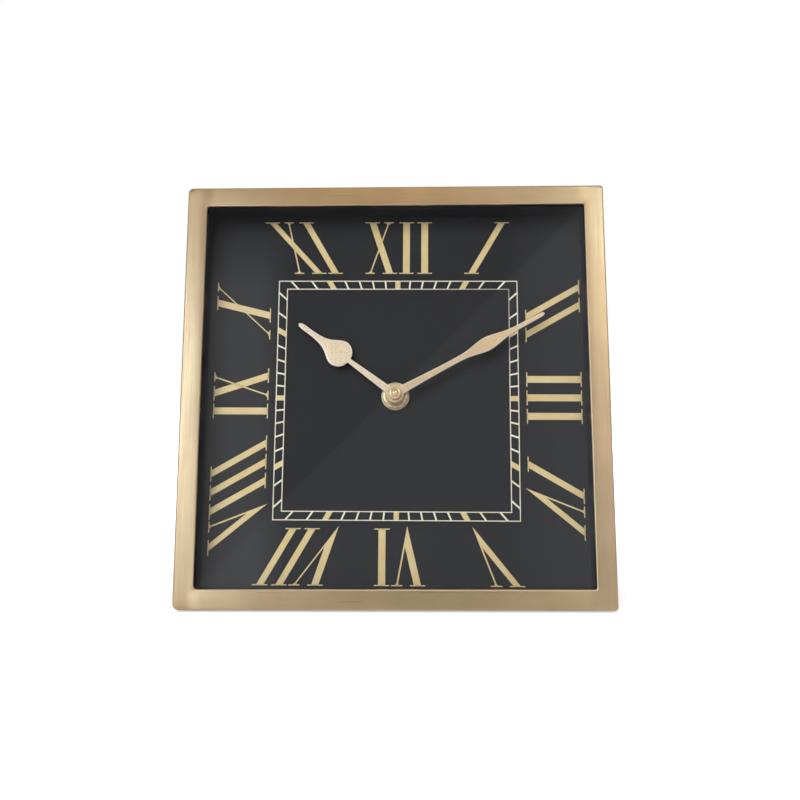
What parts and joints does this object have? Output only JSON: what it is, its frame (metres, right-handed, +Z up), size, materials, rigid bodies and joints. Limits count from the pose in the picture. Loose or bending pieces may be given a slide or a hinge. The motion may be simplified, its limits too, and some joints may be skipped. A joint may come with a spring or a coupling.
{
  "type": "pendulette clock",
  "caption": "Square table clock with a leaning glazed face, roman dial, quartz movement and a wedge-shaped brass case that stands on a flat base.",
  "frame": {"origin": "centre of the bounding box at the underside of the foot pads", "axes": "+Z up, +X to the right as seen from the front, +Y from the face towards the rear cover"},
  "size_m": [0.2, 0.0698, 0.1978],
  "materials": {
    "case_brass": "satin brushed antique brass",
    "pad_rubber": "matt",
    "black_rubber": "matt",
    "clear_glass": "polished float glass",
    "black_walls": "matt black",
    "dial_black": "satin black paint with gold print",
    "backing_board": "hardboard",
    "zinc_steel": "zinc plated",
    "cover_black": "matt black paint",
    "movement_plastic": "moulded, fine grain",
    "turned_brass": "turned and plated",
    "hand_brass": "satin plated",
    "white_plastic": "moulded",
    "knob_plastic": "moulded",
    "magnet_grey": "sintered magnet",
    "stator_steel": "stamped sheet",
    "copper_wire": "enamelled copper",
    "board_green": "lacquered board",
    "battery_sleeve": "plain sleeve"
  },
  "bodies": {
    "clock_case": {"case_shell": "case_brass", "foot_pads": "pad_rubber", "glass_gasket": "black_rubber", "front_glass": "clear_glass", "dial_spacer": "black_walls", "dial_plate": "dial_black", "dial_backing": "backing_board", "retaining_studs": "zinc_steel", "push_nuts": "zinc_steel", "rear_cover": "cover_black", "cover_brackets": "zinc_steel", "cover_screws": "zinc_steel", "movement_body": "movement_plastic", "movement_cover": "movement_plastic", "threaded_bush": "turned_brass", "fixing_washer": "turned_brass", "fixing_nut": "turned_brass", "stator": "stator_steel", "coil_core": "stator_steel", "coil_bobbin": "white_plastic", "coil_winding": "copper_wire", "circuit_board": "board_green", "quartz_crystal": "zinc_steel", "battery_contact_positive": "zinc_steel", "battery_contact_negative": "zinc_steel"},
    "minute_hand_set": {"minute_arbor": "turned_brass", "minute_hand": "hand_brass", "hand_cap": "hand_brass", "clutch_spring": "zinc_steel"},
    "hour_hand_set": {"hour_wheel": "turned_brass", "hour_hand": "hand_brass"},
    "motion_wheel_set": {"motion_wheel": "white_plastic"},
    "setting_set": {"setting_pinion": "white_plastic", "setting_knob": "knob_plastic"},
    "seconds_wheel_set": {"seconds_wheel": "white_plastic"},
    "third_wheel_set": {"third_wheel": "white_plastic"},
    "centre_wheel_set": {"centre_wheel": "turned_brass"},
    "intermediate_wheel_set": {"intermediate_wheel": "white_plastic"},
    "rotor_set": {"rotor": "white_plastic", "rotor_magnet": "magnet_grey"},
    "battery_cell": {"battery": "battery_sleeve"}
  },
  "joints": [
    {"name": "minute_turn", "type": "hinge", "parent": "clock_case", "child": "minute_hand_set", "pos_m": [0, -0.00089, 0.09653], "axis": [0, 0.9848, -0.1736], "continuous": true},
    {"name": "hour_turn", "type": "hinge", "parent": "clock_case", "child": "hour_hand_set", "pos_m": [0, -0.00089, 0.09653], "axis": [0, 0.9848, -0.1736], "continuous": true},
    {"name": "motion_turn", "type": "hinge", "parent": "clock_case", "child": "motion_wheel_set", "pos_m": [0, 0.01259, 0.1039], "axis": [0, 0.9848, -0.1736], "continuous": true},
    {"name": "setting_turn", "type": "hinge", "parent": "clock_case", "child": "setting_set", "pos_m": [-0.00935, 0.02141, 0.10783], "axis": [0, 0.9848, -0.1736], "continuous": true},
    {"name": "seconds_turn", "type": "hinge", "parent": "clock_case", "child": "seconds_wheel_set", "pos_m": [0, 0.01092, 0.09445], "axis": [0, 0.9848, -0.1736], "continuous": true},
    {"name": "third_turn", "type": "hinge", "parent": "clock_case", "child": "third_wheel_set", "pos_m": [-0.01005, 0.01123, 0.09619], "axis": [0, 0.9848, -0.1736], "continuous": true},
    {"name": "centre_turn", "type": "hinge", "parent": "clock_case", "child": "centre_wheel_set", "pos_m": [0, 0.01092, 0.09445], "axis": [0, 0.9848, -0.1736], "continuous": true},
    {"name": "intermediate_turn", "type": "hinge", "parent": "clock_case", "child": "intermediate_wheel_set", "pos_m": [0.01013, 0.01123, 0.0962], "axis": [0, 0.9848, -0.1736], "continuous": true},
    {"name": "rotor_turn", "type": "hinge", "parent": "clock_case", "child": "rotor_set", "pos_m": [0.01593, 0.01208, 0.10099], "axis": [0, 0.9848, -0.1736], "continuous": true},
    {"name": "battery_slide", "type": "slide", "parent": "clock_case", "child": "battery_cell", "axis": [0, 0.9848, -0.1736], "range_m": [0, 0.045]}
  ],
  "couplings": [
    {"joint": "hour_turn", "follows": "minute_turn", "ratio": 0.083333},
    {"joint": "motion_turn", "follows": "minute_turn", "ratio": -0.33333},
    {"joint": "setting_turn", "follows": "minute_turn", "ratio": 0.66667},
    {"joint": "third_turn", "follows": "seconds_turn", "ratio": -0.13333},
    {"joint": "centre_turn", "follows": "seconds_turn", "ratio": 0.016667},
    {"joint": "intermediate_turn", "follows": "seconds_turn", "ratio": -6},
    {"joint": "rotor_turn", "follows": "seconds_turn", "ratio": 30}
  ]
}
